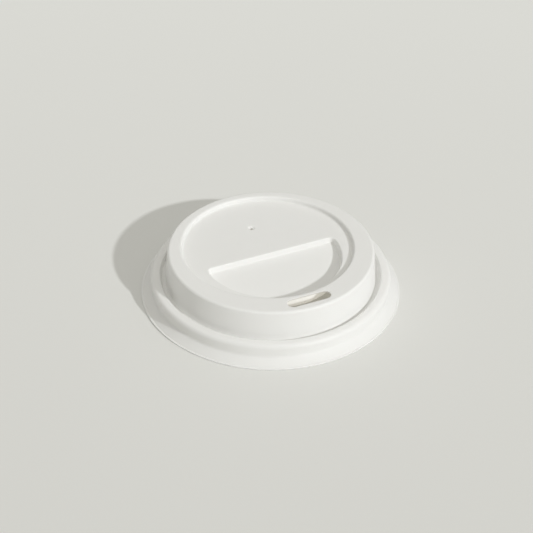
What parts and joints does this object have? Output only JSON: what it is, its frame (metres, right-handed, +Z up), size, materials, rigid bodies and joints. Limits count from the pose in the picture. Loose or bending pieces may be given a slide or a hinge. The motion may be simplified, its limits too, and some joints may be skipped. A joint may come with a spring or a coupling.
{
  "type": "takeaway cup lid",
  "caption": "Round white takeaway cup lid: a raised dome with a shallow recess, half-round pocket, sip slot and vent over a skirt that snaps on a cup rim.",
  "frame": {"origin": "centre of the lip's underside, on the surface that the lid rests on", "axes": "+Z up through the top of the lid, -Y toward the sip slot, +X along the straight side of the pocket"},
  "size_m": [0.095, 0.095, 0.0179],
  "materials": {
    "lid_plastic": "smooth satin-matt white, formed sheet"
  },
  "bodies": {
    "root": {"cup_lid": "lid_plastic"}
  },
  "joints": []
}
